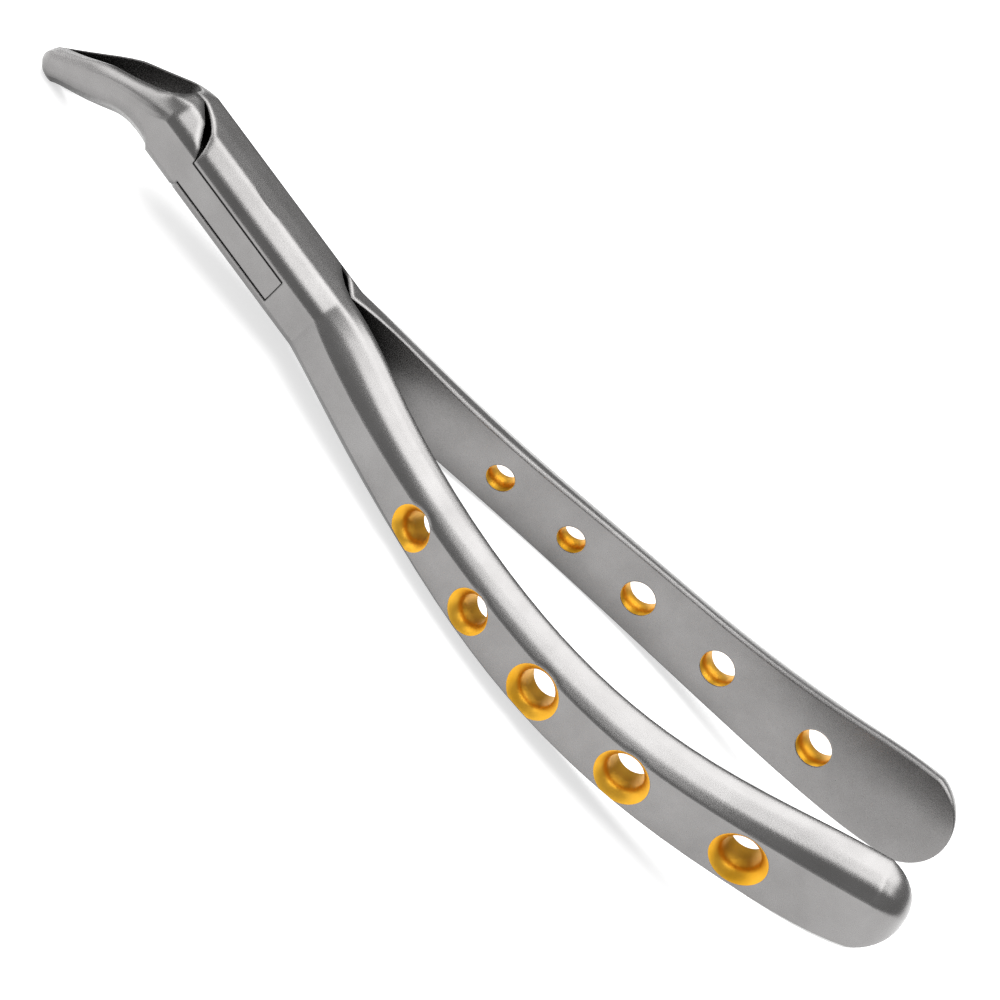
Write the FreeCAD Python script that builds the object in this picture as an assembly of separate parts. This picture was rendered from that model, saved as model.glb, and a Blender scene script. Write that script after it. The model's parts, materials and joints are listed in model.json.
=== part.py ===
import FreeCAD, Part
import math
import os
from collections import namedtuple
from FreeCAD import Placement, Rotation, Vector

# All sizes are in millimetres. They are given in the pivot's frame: the origin is the
# pivot's centre, +X runs to the handle ends, +Z is the pivot axis, and the handles close
# along Y. The last step lays the closed instrument on its side on the plane Z = 0.

# Box joint
JOINT_HALF_WIDTH = 6.3
JOINT_TOP = 5.8
JOINT_BOTTOM = -5.8
JOINT_SHOULDER = 3.05
JOINT_BULGE = 1.35
PLATE_REACH = 17.7
WINDOW_REACH = 10.6
TONGUE_HALF_HEIGHT = 2.1
CRESCENT_DEPTH = 1.1

# Running clearances
PARTING_GAP = 0.10
TONGUE_CLEARANCE_ABOVE = 0.14
TONGUE_CLEARANCE_BELOW = 0.28
WINDOW_CLEARANCE = 0.15
SHOULDER_CLEARANCE = 0.15
PIN_CLEARANCE = 0.03

# Pivot pin
PIN_RADIUS = 2.5

# One cross-section of a bar: its place on the side view, the distance of its flat inner
# face from the closing plane, and the size of the D-shaped outline standing on that face.
# The shoulder is how far the flat outer face stops short of the top and bottom. The bulge
# is how far the ground facets of the shoulder stand out from its chord, and first and
# second are the shares of that chord at which one facet meets the next
Station = namedtuple(
    "Station", "x z gap half_height thickness shoulder bulge first second chamfer"
)

JOINT_MIDDLE = (JOINT_TOP + JOINT_BOTTOM) / 2
JOINT_HALF_HEIGHT = (JOINT_TOP - JOINT_BOTTOM) / 2
INNER_GAP = PARTING_GAP / 2
# Sharp edges of the joint are broken by this much
EDGE_BREAK = 0.05


def joint_station(x, gap):
    """Half of the joint's own section, where a handle or a beak grows out of it."""
    return Station(x, JOINT_MIDDLE, gap, JOINT_HALF_HEIGHT, JOINT_HALF_WIDTH - gap,
                   JOINT_SHOULDER, JOINT_BULGE, 0.4, 0.82, INNER_GAP + EDGE_BREAK - gap)


def past_joint(distance, z, gap, half_height, width_lost, *shape):
    """Station of a handle, a distance past the joint and thinner than its half width."""
    return Station(PLATE_REACH + distance, z, gap, half_height,
                   JOINT_HALF_WIDTH - width_lost, *shape)


def before_joint(distance, z, half_height, width_lost, *shape):
    """Station of a beak, a distance before the joint and thinner than its half width."""
    return Station(-PLATE_REACH - distance, z, INNER_GAP, half_height,
                   JOINT_HALF_WIDTH - width_lost, *shape)


# Handle, from the joint to the start of its domed end at HANDLE_REACH
HANDLE_REACH = 108.0
HANDLE = [
    joint_station(PLATE_REACH, INNER_GAP),
    past_joint(16.3, 0.4, 4.8, 6.05, 0.0, 3.75, 0.95, 0.28, 0.62, 0.2),
    past_joint(33.5, 1.3, 9.3, 5.75, 0.6, 2.85, 0.75, 0.28, 0.62, 0.3),
    past_joint(47.2, 2.8, 12.35, 6.05, 0.95, 2.6, 0.55, 0.22, 0.50, 0.3),
    past_joint(60.3, 5.0, 14.1, 6.35, 1.0, 2.6, 0.5, 0.18, 0.40, 0.3),
    past_joint(75.5, 8.9, 14.15, 6.65, 0.6, 2.6, 0.5, 0.18, 0.36, 0.3),
    past_joint(92.4, 15.3, 12.35, 7.5, 0.2, 2.9, 0.65, 0.18, 0.36, 0.3),
    past_joint(HANDLE_REACH, 23.0, 10.2, 7.8, 0.1, 3.7, 0.8, 0.18, 0.36, 0.3),
]
HANDLE_END_LENGTH = 5.3

# Beak, from the joint to the start of its domed tip at BEAK_REACH, with its narrow end laid
# out back from that tip
BEAK_REACH = 21.0
BEAK = [
    joint_station(-PLATE_REACH, INNER_GAP),
    before_joint(2.9, -0.4, 5.3, 0.4, 4.4, 1.5, 0.45, 0.8, 0.15),
    before_joint(5.9, -1.4, 4.4, 0.9, 3.95, 1.5, 0.45, 0.8, 0.15),
    before_joint(9.8, -3.4, 3.8, 1.5, 3.4, 1.4, 0.45, 0.8, 0.15),
    before_joint(BEAK_REACH - 6.7, -6.9, 3.5, 2.4, 3.0, 1.2, 0.45, 0.8, 0.15),
    before_joint(BEAK_REACH - 3.7, -9.2, 3.1, 3.1, 2.6, 1.0, 0.45, 0.8, 0.15),
    before_joint(BEAK_REACH, -12.1, 2.65, 3.9, 2.1, 0.8, 0.45, 0.8, 0.15),
]
BEAK_END_LENGTH = 2.6

# Domed ends: how steeply the dome meets the bar, and how many steps it is drawn in
DOME_START = math.radians(22)
DOME_STEPS = 5

# Hollow between the closed beaks: a teardrop, round at the joint, standing up through both
HOLLOW_SETBACK = 0.5
HOLLOW_ROOT = Vector(HOLLOW_SETBACK - PLATE_REACH, 0, 2.1)
HOLLOW_TIP = Vector(1.2 - BEAK_REACH - PLATE_REACH, 0, -11.4)
HOLLOW_ROOT_RADIUS = 3.7

# Countersunk holes along each handle, square to it on its middle line: the station that
# each is drilled at, its bore and its countersink's rim
Hole = namedtuple("Hole", "station bore_radius rim_radius")
SMALL_BORE = 2.3
SMALL_RIM = 3.45
LARGE_BORE = 2.85
LARGE_RIM = 4.2
HOLES = [
    Hole(2, SMALL_BORE, SMALL_RIM),
    Hole(3, SMALL_BORE, SMALL_RIM),
    Hole(4, LARGE_BORE, LARGE_RIM),
    Hole(5, LARGE_BORE, LARGE_RIM),
    Hole(6, LARGE_BORE, LARGE_RIM),
]
COUNTERSINK_DEPTH = 1.4

# Margin by which a cutting body passes the surface it cuts
OVERCUT = 2.0


def section_frame(centre, tangent, side):
    """Unit axes of a section: outward from the closing plane, and up across the bar."""
    outward = tangent.cross(Vector(0, 0, 1)) * -1
    if outward.y * side < 0:
        outward = outward * -1
    outward.normalize()
    across = tangent.cross(outward)
    if across.z < 0:
        across = across * -1
    across.normalize()
    return outward, across


def shoulder_points(station):
    """Corners of the ground facets, from the inner face's chamfer to the flat outer face."""
    run = station.thickness - station.chamfer
    chord = math.hypot(run, station.shoulder)
    points = []
    last = (1 + station.second) / 2
    for share in (0, station.first, station.second, last, 1):
        offset = 4 * station.bulge * share * (1 - share)
        out = station.chamfer + run * share + offset * station.shoulder / chord
        up = station.half_height - station.shoulder * share + offset * run / chord
        points.append((out, up))
    return points


def closed_face(points):
    """Flat face inside a polygon."""
    return Part.Face(Part.makePolygon(points + points[:1]))


def d_wire(station, centre, outward, across, scale=1):
    """Closed D-shaped outline of one station, scaled about the middle of its inner face."""
    upper = [(0, station.half_height - station.chamfer)] + shoulder_points(station)
    ring = upper + [(out, -up) for out, up in reversed(upper)]
    points = [centre + (outward * out + across * up) * scale for out, up in ring]
    return Part.makePolygon(points + points[:1])


def domed_end(station, length, centre, tangent, outward, across):
    """Dome that closes a bar past its last station, keeping the outline's proportions."""
    profiles = []
    for index in range(DOME_STEPS):
        angle = DOME_START + (math.pi / 2 - DOME_START) * index / DOME_STEPS
        scale = math.cos(angle) / math.cos(DOME_START)
        along = (math.sin(angle) - math.sin(DOME_START)) / (1 - math.sin(DOME_START))
        place = centre + tangent * (length * along)
        profiles.append(d_wire(station, place, outward, across, scale))
    profiles.append(Part.Vertex(centre + tangent * length))
    return Part.makeLoft(profiles, True, False)


def bar(stations, end_length):
    """Bar on the +Y side lofted through its stations, and the placement of each station."""
    points = [Vector(s.x, s.gap, s.z) for s in stations]
    spine = Part.BSplineCurve()
    along = Vector(1, 0, 0) if points[-1].x > 0 else Vector(-1, 0, 0)
    last = points[-1] - points[-2]
    spine.interpolate(Points=points, InitialTangent=along * last.Length, FinalTangent=last)
    wires = []
    placements = []
    for station, point in zip(stations, points):
        tangent = spine.tangent(spine.parameter(point))[0]
        outward, across = section_frame(point, tangent, 1)
        wires.append(d_wire(station, point, outward, across))
        placements.append(Placement(point, Rotation(Vector(1, 0, 0), outward)))
    body = Part.makeLoft(wires, True, False)
    end = domed_end(stations[-1], end_length, points[-1], tangent, outward, across)
    return body.fuse(end).removeSplitter(), placements


def mirrored(shape):
    """The same shape on the other side of the closing plane."""
    return shape.mirror(Vector(0, 0, 0), Vector(0, 1, 0))


def half_turn(shape):
    """The same shape turned half a turn about the pivot axis."""
    turned = shape.copy()
    turned.rotate(Vector(0, 0, 0), Vector(0, 0, 1), 180)
    return turned


def slab(face, bottom, top):
    """Upright prism of a plan outline between two heights."""
    prism = face.extrude(Vector(0, 0, top - bottom))
    prism.translate(Vector(0, 0, bottom))
    return prism


def joint_block():
    """Solid block of the joint with crowned top and bottom, before it is shared out."""
    quarter = shoulder_points(joint_station(-PLATE_REACH, 0))
    half = quarter + [(out, -up) for out, up in reversed(quarter)]
    ring = half + [(-out, up) for out, up in reversed(half)]
    outline = closed_face([Vector(-PLATE_REACH, out, JOINT_MIDDLE + up) for out, up in ring])
    return outline.extrude(Vector(2 * PLATE_REACH, 0, 0))


def shoulder_zone(clearance, depth, gap):
    """Plan face of the corner where the handle on the +Y side leaves the joint at full height."""
    root = Vector(PLATE_REACH + clearance, gap, 0)
    flank = Vector(WINDOW_REACH + clearance, JOINT_HALF_WIDTH, 0)
    run = flank - root
    beyond = flank + run * (OVERCUT / JOINT_HALF_WIDTH)
    far = Vector(PLATE_REACH + clearance + OVERCUT, beyond.y, 0)
    near = Vector(far.x, gap, 0)
    if depth > 0:
        inward = Vector(-run.y, run.x, 0)
        inward.normalize()
        middle = root + run * 0.5 + inward * depth
        front = Part.Arc(root, middle, flank).toShape()
    else:
        front = Part.LineSegment(root, flank).toShape()
    sides = [(flank, beyond), (beyond, far), (far, near), (near, root)]
    edges = [front] + [Part.LineSegment(a, b).toShape() for a, b in sides]
    return Part.Face(Part.Wire(edges))


def quadrant_zone(gap):
    """Plan face of the quarter of the joint between +X and +Y."""
    reach = PLATE_REACH + OVERCUT
    corners = [(0, gap), (reach, gap), (reach, reach), (0, reach)]
    return closed_face([Vector(x, y, 0) for x, y in corners])


def male_space(arc_clearance, below, above, shoulder_clearance, depth, gap):
    """Space that the male half takes inside the joint, opened out by the given clearances."""
    radius = math.hypot(WINDOW_REACH, JOINT_HALF_WIDTH) + arc_clearance
    bottom = -TONGUE_HALF_HEIGHT - below
    top = TONGUE_HALF_HEIGHT + above
    tongue = Part.makeCylinder(radius, top - bottom, Vector(0, 0, bottom))
    quadrant = slab(quadrant_zone(gap), bottom, top)
    shoulder = slab(
        shoulder_zone(shoulder_clearance, depth, gap), JOINT_BOTTOM - OVERCUT, JOINT_TOP + OVERCUT
    )
    pieces = [quadrant, half_turn(quadrant), shoulder, half_turn(shoulder)]
    return tongue.multiFuse(pieces)


def hollow():
    """Teardrop space between the beaks, standing across them."""
    chord = HOLLOW_TIP - HOLLOW_ROOT
    r = HOLLOW_ROOT_RADIUS
    run = chord.Length - r
    side_radius = (run * run + r * r) / (2 * r)
    half = math.asin(run / side_radius) / 2
    widest = Vector(r, r, 0)
    on_root = Vector(r - r * math.cos(math.pi / 4), r * math.sin(math.pi / 4), 0)
    on_side = widest + Vector(side_radius * math.sin(half), side_radius * (math.cos(half) - 1), 0)
    tip = Vector(chord.Length, 0, 0)
    root = Part.Arc(Vector(0, 0, 0), on_root, widest)
    side = Part.Arc(widest, on_side, tip)
    axis = Part.LineSegment(tip, Vector(0, 0, 0))
    outline = Part.Face(Part.Wire([root.toShape(), side.toShape(), axis.toShape()]))
    reach = JOINT_HALF_HEIGHT + OVERCUT
    upper = slab(outline, -reach, reach)
    teardrop = upper.fuse(mirrored(upper))
    teardrop.Placement = Placement(HOLLOW_ROOT, Rotation(Vector(1, 0, 0), chord))
    return teardrop


def countersunk_plug(hole, thickness):
    """Plug along +X from the inner face outward that fills a countersunk hole."""
    points = [
        Vector(-OVERCUT, 0, 0),
        Vector(-OVERCUT, hole.bore_radius, 0),
        Vector(thickness - COUNTERSINK_DEPTH, hole.bore_radius, 0),
        Vector(thickness, hole.rim_radius, 0),
        Vector(thickness + OVERCUT, hole.rim_radius, 0),
        Vector(thickness + OVERCUT, 0, 0),
    ]
    return closed_face(points).revolve(Vector(0, 0, 0), Vector(1, 0, 0), 360)


def drilled_handle():
    """Handle on the +Y side with its holes."""
    handle, placements = bar(HANDLE, HANDLE_END_LENGTH)
    plugs = []
    for hole in HOLES:
        plug = countersunk_plug(hole, HANDLE[hole.station].thickness)
        plug.Placement = placements[hole.station]
        plugs.append(plug)
    return handle.cut(plugs)


def pin_cylinder(radius):
    """Cylinder on the pivot axis through the whole joint."""
    return Part.makeCylinder(radius, JOINT_TOP - JOINT_BOTTOM, Vector(0, 0, JOINT_BOTTOM))


def build():
    """All pieces in the pivot's frame, by node name."""
    handle = drilled_handle()
    beak = bar(BEAK, BEAK_END_LENGTH)[0].cut(hollow())
    block = joint_block()
    window = male_space(
        WINDOW_CLEARANCE, TONGUE_CLEARANCE_BELOW, TONGUE_CLEARANCE_ABOVE,
        0, CRESCENT_DEPTH, -INNER_GAP,
    )
    tongue = male_space(0, 0, 0, SHOULDER_CLEARANCE, 0, INNER_GAP)
    pin = pin_cylinder(PIN_RADIUS)
    female_joint = block.cut(window).cut(pin)
    male_joint = block.common(tongue).cut(pin_cylinder(PIN_RADIUS + PIN_CLEARANCE))
    return {
        "female_half": female_joint.multiFuse([mirrored(handle), beak]).removeSplitter(),
        "male_half": male_joint.multiFuse([handle, mirrored(beak)]).removeSplitter(),
        "pivot_pin": block.common(pin),
    }


def lying_placement(pieces):
    """Placement that lays the instrument on its beak tips and handles, centred on its box."""
    vertices = []
    for name in ("female_half", "male_half"):
        vertices += pieces[name].tessellate(0.02)[0]
    beak = [(p.x, p.z) for p in vertices if p.x < -PLATE_REACH]
    handle = [(p.x, p.z) for p in vertices if p.x > PLATE_REACH]

    def lowest(points, angle):
        return min(z * math.cos(angle) - x * math.sin(angle) for x, z in points)

    low, high = -math.radians(30), math.radians(30)
    for step in range(40):
        middle = (low + high) / 2
        if lowest(beak, middle) > lowest(handle, middle):
            high = middle
        else:
            low = middle
    turn = Rotation(Vector(0, 1, 0), math.degrees(middle))
    laid = [turn.multVec(p) for p in vertices]
    x_middle = (min(p.x for p in laid) + max(p.x for p in laid)) / 2
    y_middle = (min(p.y for p in laid) + max(p.y for p in laid)) / 2
    z_lowest = min(p.z for p in laid)
    return Placement(Vector(-x_middle, -y_middle, -z_lowest), turn)


def main():
    os.makedirs("parts", exist_ok=True)
    pieces = build()
    placement = lying_placement(pieces)
    print("pivot", placement.Base, "tilt", math.degrees(placement.Rotation.Angle))
    for name, shape in pieces.items():
        shape.transformShape(placement.toMatrix())
        print(name, shape.isValid(), len(shape.Solids), round(shape.Volume, 2))
        shape.exportStep("parts/%s.step" % name)


main()
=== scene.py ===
import json
import math
from collections import namedtuple

import bpy
from mathutils import Matrix, Vector


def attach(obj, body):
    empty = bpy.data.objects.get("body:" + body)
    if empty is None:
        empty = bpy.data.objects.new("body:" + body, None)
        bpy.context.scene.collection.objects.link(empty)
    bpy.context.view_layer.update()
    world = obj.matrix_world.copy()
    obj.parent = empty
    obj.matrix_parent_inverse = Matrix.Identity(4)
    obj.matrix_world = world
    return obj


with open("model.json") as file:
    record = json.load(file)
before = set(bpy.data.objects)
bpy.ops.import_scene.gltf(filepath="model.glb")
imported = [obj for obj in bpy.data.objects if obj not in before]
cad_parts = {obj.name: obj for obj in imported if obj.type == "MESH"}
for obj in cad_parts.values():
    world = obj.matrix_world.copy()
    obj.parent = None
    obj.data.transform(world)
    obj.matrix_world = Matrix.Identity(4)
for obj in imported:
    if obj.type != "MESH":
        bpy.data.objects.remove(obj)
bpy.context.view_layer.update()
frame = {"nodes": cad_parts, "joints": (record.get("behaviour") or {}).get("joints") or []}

MM = 0.001
WHITE = (1, 1, 1)
UPWARD = Vector((0, 0, 1))

# The pivot's place and axis give the frame that the handles and the camera are set out in:
# its origin is the pivot's centre, +X runs to the handle ends and +Z is the pivot's axis.
PIVOT = frame["joints"][0]
PIVOT_PLACE = Vector(PIVOT["pos_m"])
PIVOT_AXIS = Vector(PIVOT["axis"]).normalized()
ACROSS = Vector((0, 1, 0))
FORWARD = ACROSS.cross(PIVOT_AXIS)
PIVOT_FRAME = Matrix.Translation(PIVOT_PLACE) @ Matrix(
    (FORWARD, ACROSS, PIVOT_AXIS)
).transposed().to_4x4()


# Camera

# In the pivot's frame: the camera's place, and the directions to the right and down in the
# photograph. The lens and the sensor are in mm, the clipping distances in metres.
CAMERA_PLACE = Vector((59.143, -201.62, 153.493)) * MM
IMAGE_RIGHT = Vector((0.596195, 0.48464, 0.640059))
IMAGE_DOWN = Vector((0.802576, -0.339318, -0.490648))
LENS = 62.635
SENSOR = 36.0
CLIP_START = 0.01
CLIP_END = 20.0


def add_camera():
    """Camera at the photograph's viewing angle."""
    camera = bpy.data.objects.new("camera", bpy.data.cameras.new("camera"))
    bpy.context.scene.collection.objects.link(camera)
    camera.data.lens = LENS
    camera.data.sensor_width = SENSOR
    camera.data.clip_start = CLIP_START
    camera.data.clip_end = CLIP_END
    back = IMAGE_RIGHT.cross(IMAGE_DOWN) * -1
    axes = Matrix((IMAGE_RIGHT, IMAGE_DOWN * -1, back)).transposed().to_4x4()
    camera.matrix_world = PIVOT_FRAME @ Matrix.Translation(CAMERA_PLACE) @ axes
    bpy.context.scene.camera = camera


# Light and floor

# Softboxes, in metres and watts. The light above is in two parts that meet along the object:
# the part nearer to the camera is shorter, so that fewer of the near facets shine.
Softbox = namedtuple("Softbox", "name place target size power")
SOFTBOXES = [
    Softbox("top_softbox", (0, 0.425, 1.0), (0, 0.425, 0), (2.2, 0.85), 21),
    Softbox("joint_softbox", (0.14, -0.225, 1.0), (0.14, -0.225, 0), (0.92, 0.45), 5),
    Softbox("left_softbox", (-1.3, -0.05, 0.45), (0, 0, 0), (1.2, 0.7), 6.5),
]
WORLD_STRENGTH = 0.42
FLOOR_HALF_WIDTH = 2.5
FLOOR_COLOUR = (0.6, 0.6, 0.6)
FLOOR_ROUGHNESS = 0.9
FLOOR_SPECULAR = 0.1
FLOOR_GLOW = 0.65


def add_softbox(softbox):
    """Rectangular softbox at its place, facing its target."""
    data = bpy.data.lights.new(softbox.name, "AREA")
    data.shape = "RECTANGLE"
    data.size, data.size_y = softbox.size
    data.energy = softbox.power
    light = bpy.data.objects.new(softbox.name, data)
    bpy.context.scene.collection.objects.link(light)
    direction = Vector(softbox.target) - Vector(softbox.place)
    light.rotation_euler = direction.to_track_quat("-Z", "Y").to_euler()
    light.location = softbox.place


def add_world():
    """Even white light from all round."""
    world = bpy.data.worlds.new("studio")
    world.use_nodes = True
    background = world.node_tree.nodes["Background"]
    background.inputs["Color"].default_value = (*WHITE, 1)
    background.inputs["Strength"].default_value = WORLD_STRENGTH
    bpy.context.scene.world = world


def new_material(name):
    """Material with only a Principled shader, and that shader."""
    material = bpy.data.materials.new(name)
    material.use_nodes = True
    return material, material.node_tree.nodes["Principled BSDF"]


def floor_material():
    """White tabletop lit from below, so that hardly a shadow shows on it."""
    material, shader = new_material("pale_floor")
    shader.inputs["Base Color"].default_value = (*FLOOR_COLOUR, 1)
    shader.inputs["Roughness"].default_value = FLOOR_ROUGHNESS
    shader.inputs["Specular IOR Level"].default_value = FLOOR_SPECULAR
    shader.inputs["Emission Color"].default_value = (*WHITE, 1)
    shader.inputs["Emission Strength"].default_value = FLOOR_GLOW
    return material


def add_floor():
    """Plain pale floor under the object."""
    half = FLOOR_HALF_WIDTH
    corners = [(-half, -half, 0), (half, -half, 0), (half, half, 0), (-half, half, 0)]
    mesh = bpy.data.meshes.new("floor")
    mesh.from_pydata(corners, [], [(0, 1, 2, 3)])
    floor = bpy.data.objects.new("floor", mesh)
    bpy.context.scene.collection.objects.link(floor)
    floor.data.materials.append(floor_material())


# Nodes for the metals

def node(tree, kind, **settings):
    """New shader node with its settings; a setting named after an input sets that input."""
    made = tree.nodes.new(kind)
    for key, value in settings.items():
        if hasattr(made, key):
            setattr(made, key, value)
        else:
            made.inputs[key.replace("_", " ")].default_value = value
    return made


def calculate(tree, operation, *values):
    """Output of a math node whose inputs are numbers or other nodes' outputs."""
    made = node(tree, "ShaderNodeMath", operation=operation)
    for socket, value in zip(made.inputs, values):
        if isinstance(value, (int, float)):
            socket.default_value = value
        else:
            tree.links.new(value, socket)
    return made.outputs["Value"]


def map_range(tree, value, old, new):
    """Value carried from its old range to a new one, and held inside it."""
    made = node(
        tree, "ShaderNodeMapRange",
        From_Min=old[0], From_Max=old[1], To_Min=new[0], To_Max=new[1],
    )
    tree.links.new(value, made.inputs["Value"])
    return made.outputs["Result"]


def noise(tree, place, scale, detail, roughness):
    """Values from 0 to 1 that vary at random from place to place."""
    made = node(tree, "ShaderNodeTexNoise", Scale=scale, Detail=detail, Roughness=roughness)
    tree.links.new(place, made.inputs["Vector"])
    return made.outputs["Fac"]


def bump(tree, height, strength, distance, normal=None):
    """Normal with the relief of a height on it."""
    made = node(tree, "ShaderNodeBump", Strength=strength, Distance=distance)
    tree.links.new(height, made.inputs["Height"])
    if normal:
        tree.links.new(normal, made.inputs["Normal"])
    return made.outputs["Normal"]


def along(tree, place, direction):
    """Distance of a place from the pivot's centre in one direction, in mm."""
    arm = node(tree, "ShaderNodeVectorMath", operation="SUBTRACT")
    arm.inputs[1].default_value = PIVOT_PLACE
    tree.links.new(place, arm.inputs[0])
    dot = node(tree, "ShaderNodeVectorMath", operation="DOT_PRODUCT")
    dot.inputs[1].default_value = direction / MM
    tree.links.new(arm.outputs["Vector"], dot.inputs[0])
    return dot.outputs["Value"]


# Steel and gold

STEEL_DARK = (0.205, 0.2, 0.198)
STEEL_LIGHT = (0.24, 0.235, 0.233)
GOLD_DARK = (0.68, 0.34, 0.02)
GOLD_LIGHT = (0.78, 0.44, 0.05)
# Scale, detail and roughness of each noise, and the range of its values that is made use of
CLOUDS = (140.0, 3.0, 0.6)
CLOUD_RANGE = (0.3, 0.7)
SPECKS = (5200.0, 2.0, 0.6)
SPECK_RANGE = (0.25, 0.75)
# The brush lines' noise is stretched along X
BRUSH_LINES = (1.0, 4.0, 0.65)
BRUSH_STRETCH = (180.0, 5200.0, 2600.0)
# Roughness in the lowest and the highest specks, and how strong and how high the relief is
STEEL_ROUGHNESS = (0.22, 0.3)
GOLD_ROUGHNESS = (0.4, 0.5)
STEEL_GRAIN = 0.25
GOLD_GRAIN = 0.1
GRAIN_HEIGHT = 0.02 * MM
BRUSH_STRENGTH = 0.15
BRUSH_HEIGHT = 0.01 * MM
# Painted shade in the gaps: the depth that a gap is judged by, how open its darkest and its
# lightest places are, and the factor that the painted shade puts on the colour there
GAP_DEPTH = 12 * MM
GAP_OPENNESS = (0.2, 0.6)
PAINTED_GAP_SHADE = (0.04, 1.0)
# Radius to which edges look rounded on the facets and on the flats, and the share of the
# normal that points across the object, up to which it is the one and from which the other
FACET_EASE = 1.4 * MM
FLAT_EASE = FACET_EASE / 4
FLATNESS = (0.8, 0.93)
RAY_SAMPLES = 8
# In mm: the pin, the joint's flat side, and the band of painted shade along the seam round
# the tongue in that side; last, how much that painted shade darkens the colour
PIN_RADIUS = 2.5
FLAT_SIDE = 6.3
FLAT_SIDE_SLACK = 0.05
SEAM_HEIGHT = 2.2
SEAM_REACH = 10.7
SEAM_WIDTH = 0.16
PAINTED_SEAM_SHADE = 0.85


def soft_colour(tree, place, dark, light):
    """Colour that varies softly between two tones."""
    ramp = node(tree, "ShaderNodeValToRGB")
    ends = zip(ramp.color_ramp.elements, CLOUD_RANGE, (dark, light))
    for element, position, colour in ends:
        element.position = position
        element.color = (*colour, 1)
    tree.links.new(noise(tree, place, *CLOUDS), ramp.inputs["Fac"])
    return ramp.outputs["Color"]


def painted_gap_shade(tree):
    """Painted shade: factor that darkens the colour deep in the gaps."""
    openness = node(
        tree, "ShaderNodeAmbientOcclusion", samples=RAY_SAMPLES, Distance=GAP_DEPTH
    )
    return map_range(tree, openness.outputs["AO"], GAP_OPENNESS, PAINTED_GAP_SHADE)


def painted_seam_shade(tree, place):
    """Painted shade: factor that goes dark in a thin band along the seam round the tongue."""
    forward = along(tree, place, FORWARD)
    sideways = along(tree, place, ACROSS)
    height = calculate(tree, "ABSOLUTE", along(tree, place, PIVOT_AXIS))
    beside = calculate(tree, "COMPARE", height, SEAM_HEIGHT, SEAM_WIDTH)
    within = calculate(tree, "COMPARE", forward, 0.0, SEAM_REACH)
    lines = calculate(tree, "MULTIPLY", beside, within)
    # The seam's end is at the back on one side and at the front on the other, so the product
    # of the two distances has one value at both ends
    corner = calculate(tree, "MULTIPLY", forward, sideways)
    end = calculate(tree, "COMPARE", corner, -SEAM_REACH * FLAT_SIDE, SEAM_WIDTH * FLAT_SIDE / 2)
    end = calculate(tree, "MULTIPLY", end, calculate(tree, "LESS_THAN", height, SEAM_HEIGHT))
    side = calculate(tree, "ABSOLUTE", sideways)
    flat = calculate(tree, "COMPARE", side, FLAT_SIDE, FLAT_SIDE_SLACK)
    seam = calculate(tree, "MULTIPLY", calculate(tree, "MAXIMUM", lines, end), flat)
    return calculate(tree, "SUBTRACT", 1.0, calculate(tree, "MULTIPLY", seam, PAINTED_SEAM_SHADE))


def eased_normal(tree, place):
    """Normal that rounds the facets' edges, less on the flats and not at the pin's end."""
    parts = node(tree, "ShaderNodeSeparateXYZ")
    plain = node(tree, "ShaderNodeNewGeometry").outputs["Normal"]
    tree.links.new(plain, parts.inputs["Vector"])
    flatness = calculate(tree, "ABSOLUTE", parts.outputs["Y"])
    radius = map_range(tree, flatness, FLATNESS, (FACET_EASE, FLAT_EASE))
    arms = [along(tree, place, FORWARD), along(tree, place, ACROSS)]
    squares = [calculate(tree, "MULTIPLY", arm, arm) for arm in arms]
    off_axis = calculate(tree, "SQRT", calculate(tree, "ADD", *squares))
    off_pin = calculate(tree, "ABSOLUTE", calculate(tree, "SUBTRACT", off_axis, PIN_RADIUS))
    limit = calculate(tree, "MULTIPLY", off_pin, MM)
    eased = node(tree, "ShaderNodeBevel", samples=RAY_SAMPLES)
    tree.links.new(calculate(tree, "MINIMUM", radius, limit), eased.inputs["Radius"])
    return eased.outputs["Normal"]


def connect_metal(tree, shader, colour, roughness, normal):
    """Make the shader a metal with this colour, roughness and normal."""
    shader.inputs["Metallic"].default_value = 1.0
    tree.links.new(colour, shader.inputs["Base Color"])
    tree.links.new(roughness, shader.inputs["Roughness"])
    tree.links.new(normal, shader.inputs["Normal"])


def steel_material():
    """Satin steel: soft tones, fine grain, brush lines, eased facets, and painted shade in the
    gaps and along the seam.
    """
    material, shader = new_material("satin_steel")
    tree = material.node_tree
    place = node(tree, "ShaderNodeTexCoord").outputs["Object"]
    # Painted shade in the gaps and along the seam darkens the steel's colour
    shade = calculate(tree, "MULTIPLY", painted_gap_shade(tree), painted_seam_shade(tree, place))
    shaded = node(tree, "ShaderNodeVectorMath", operation="SCALE")
    tree.links.new(soft_colour(tree, place, STEEL_DARK, STEEL_LIGHT), shaded.inputs[0])
    tree.links.new(shade, shaded.inputs["Scale"])
    specks = noise(tree, place, *SPECKS)
    roughness = map_range(tree, specks, SPECK_RANGE, STEEL_ROUGHNESS)
    grained = bump(tree, specks, STEEL_GRAIN, GRAIN_HEIGHT, eased_normal(tree, place))
    stretched = node(tree, "ShaderNodeMapping", Scale=BRUSH_STRETCH)
    tree.links.new(place, stretched.inputs["Vector"])
    lines = noise(tree, stretched.outputs["Vector"], *BRUSH_LINES)
    brushed = bump(tree, lines, BRUSH_STRENGTH, BRUSH_HEIGHT, grained)
    connect_metal(tree, shader, shaded.outputs["Vector"], roughness, brushed)
    return material


def gold_material():
    """Smooth gold plating with soft tones and a very fine grain."""
    material, shader = new_material("gold_plating")
    tree = material.node_tree
    place = node(tree, "ShaderNodeTexCoord").outputs["Object"]
    colour = soft_colour(tree, place, GOLD_DARK, GOLD_LIGHT)
    specks = noise(tree, place, *SPECKS)
    roughness = map_range(tree, specks, SPECK_RANGE, GOLD_ROUGHNESS)
    grained = bump(tree, specks, GOLD_GRAIN, GRAIN_HEIGHT)
    connect_metal(tree, shader, colour, roughness, grained)
    return material


# Gold plating of the countersunk holes

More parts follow.
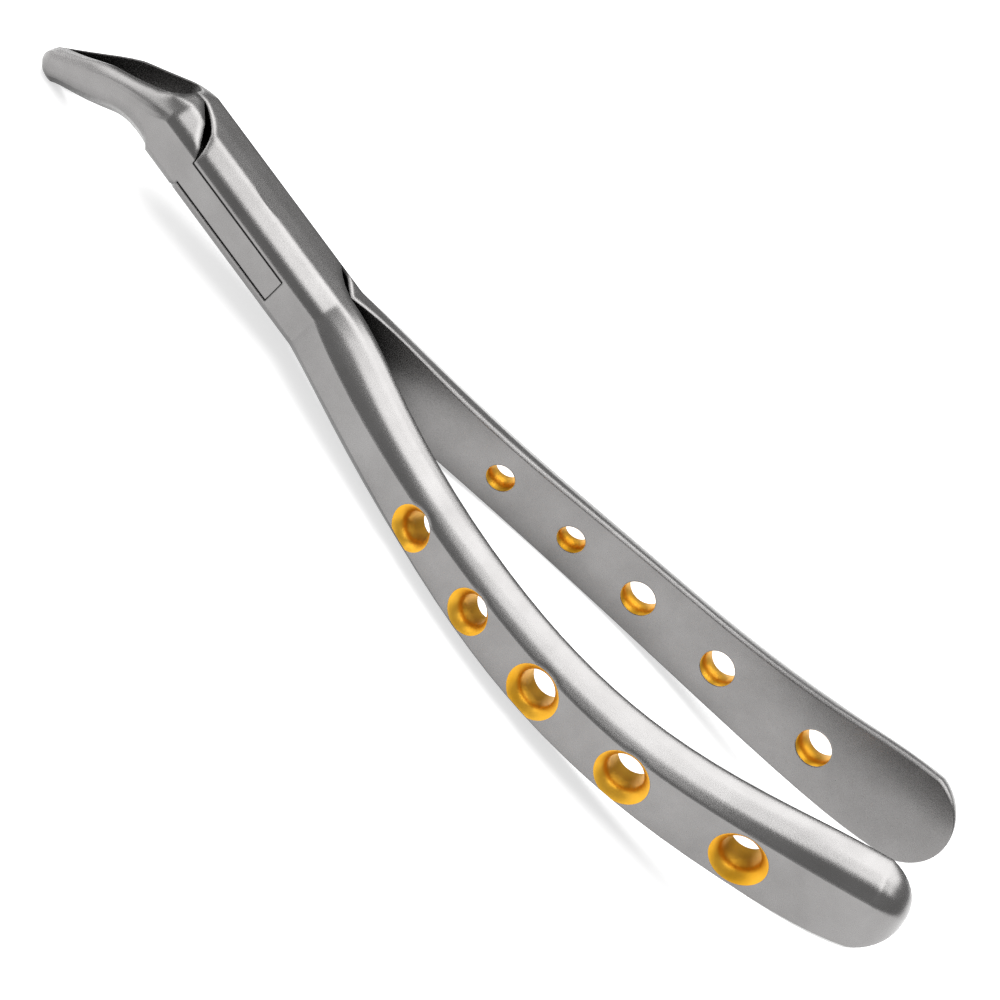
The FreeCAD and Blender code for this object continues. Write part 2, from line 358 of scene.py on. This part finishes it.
# Holes of the handle on the +Y side, in mm in the pivot's frame: the middle on the handle's
# inner face, the degrees that the hole's axis leans from +Y towards +X, the handle's
# thickness there, and the radii of the bore and of the countersink's rim.
Hole = namedtuple("Hole", "place lean thickness bore rim")
HOLES = [
    Hole((51.2, 9.3, 1.3), -12.55, 5.7, 2.3, 3.45),
    Hole((64.9, 12.35, 2.8), -10.9, 5.35, 2.3, 3.45),
    Hole((78.0, 14.1, 5.0), -4.11, 5.3, 2.85, 4.2),
    Hole((93.2, 14.15, 8.9), 3.4, 5.7, 2.85, 4.2),
    Hole((110.1, 12.35, 15.3), 7.65, 6.1, 2.85, 4.2),
]
COUNTERSINK_DEPTH = 1.4
# The handles: the word in the names of their platings, the node, its body and its side of Y
HANDLES = [
    ("front", "female_half", "female_body", -1),
    ("rear", "male_half", "male_body", 1),
]
PLATING = 0.03
PLATING_SLACK = 0.004
RING_SEGMENTS = 96
# Shares of the bore's and the countersink's wall at which the plating's outline has a
# point. They are few, so that the smooth shading rounds the edge between the two off.
BORE_SHARES = (0, 0.8, 1)
SINK_SHARES = (0.3, 1)
# Depth clear of the handle on both sides, from which the steel is looked for
CLEAR_DEPTH = 12
# How far past the handle's thickness the wall's end may lie, and how often that is halved
END_MARGIN = 1
END_HALVINGS = 14


def wall_radius(hole, depth):
    """Radius of a hole's wall at a depth from the handle's inner face."""
    share = (depth - hole.thickness + COUNTERSINK_DEPTH) / COUNTERSINK_DEPTH
    return hole.bore + (hole.rim - hole.bore) * min(max(share, 0), 1)


def section_point(section, depth, radius):
    """Point in a hole's section, at a depth from the inner face and a radius."""
    centre, axis, radial = section
    return PIVOT_FRAME @ ((centre + axis * depth + radial * radius) * MM)


def steel_depth(steel_node, section, radius, start_depth):
    """Depth at which the steel starts at one radius, seen from a start depth clear of it."""
    to_node = steel_node.matrix_world.inverted()
    start = to_node @ section_point(section, start_depth, radius)
    ahead = to_node @ section_point(section, 0, radius) - start
    hit, place = steel_node.ray_cast(start, ahead.normalized())[:2]
    distance = (place - start).length / MM if hit else abs(start_depth)
    return start_depth - math.copysign(distance, start_depth)


def wall_end(steel_node, hole, section):
    """Depth at which a hole's wall meets the handle's outer surface."""
    low = 0
    high = hole.thickness + END_MARGIN
    for _ in range(END_HALVINGS):
        middle = (low + high) / 2
        radius = wall_radius(hole, middle) + PLATING
        if steel_depth(steel_node, section, radius, CLEAR_DEPTH) > middle:
            low = middle
        else:
            high = middle
    return low


def plating_profile(hole, inner, outer):
    """Outline of the plating's section, as depths and radii: up its skin, down its back."""
    edge = hole.thickness - COUNTERSINK_DEPTH
    depths = [inner + (edge - inner) * share for share in BORE_SHARES]
    depths += [edge + (outer - edge) * share for share in SINK_SHARES]
    back = [(depth, wall_radius(hole, depth) - PLATING_SLACK) for depth in depths]
    skin = [(depth, radius - PLATING) for depth, radius in back]
    return skin + back[::-1]


def ring_faces(count):
    """Faces of a closed ring of sections, each with the same count of points."""
    faces = []
    for index in range(RING_SEGMENTS):
        here = index * count
        there = (index + 1) % RING_SEGMENTS * count
        for corner in range(count):
            beside = (corner + 1) % count
            faces.append((here + corner, here + beside, there + beside, there + corner))
    return faces


def add_plating(name, steel_node, body, side, hole):
    """Thin gold layer that lines one hole up to the steel's own edges, as a closed ring."""
    x, y, z = hole.place
    centre = Vector((x, y * side, z))
    lean = math.radians(hole.lean)
    axis = Vector((math.sin(lean), math.cos(lean) * side, 0))
    sideways = axis.cross(UPWARD)
    vertices = []
    for index in range(RING_SEGMENTS):
        angle = 2 * math.pi * index / RING_SEGMENTS
        radial = UPWARD * math.cos(angle) + sideways * math.sin(angle)
        section = (centre, axis, radial)
        inner = steel_depth(steel_node, section, hole.bore + PLATING, -CLEAR_DEPTH)
        outer = wall_end(steel_node, hole, section)
        profile = plating_profile(hole, inner + PLATING_SLACK, outer - PLATING_SLACK)
        vertices += [section_point(section, depth, radius) for depth, radius in profile]
    mesh = bpy.data.meshes.new(name)
    mesh.from_pydata(vertices, [], ring_faces(len(profile)))
    mesh.shade_smooth()
    piece = bpy.data.objects.new(name, mesh)
    bpy.context.scene.collection.objects.link(piece)
    piece.data.materials.append(gold)
    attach(piece, body)


# The whole scene

add_camera()
add_floor()
add_world()
for softbox in SOFTBOXES:
    add_softbox(softbox)

steel = steel_material()
gold = gold_material()

for cad_node in frame["nodes"].values():
    for slot in cad_node.material_slots:
        slot.material = steel

for number, hole in enumerate(HOLES, 1):
    for word, half, body, side in HANDLES:
        add_plating("gold_plating_%s_%d" % (word, number), frame["nodes"][half], body, side, hole)

bpy.context.scene.view_settings.view_transform = "Standard"
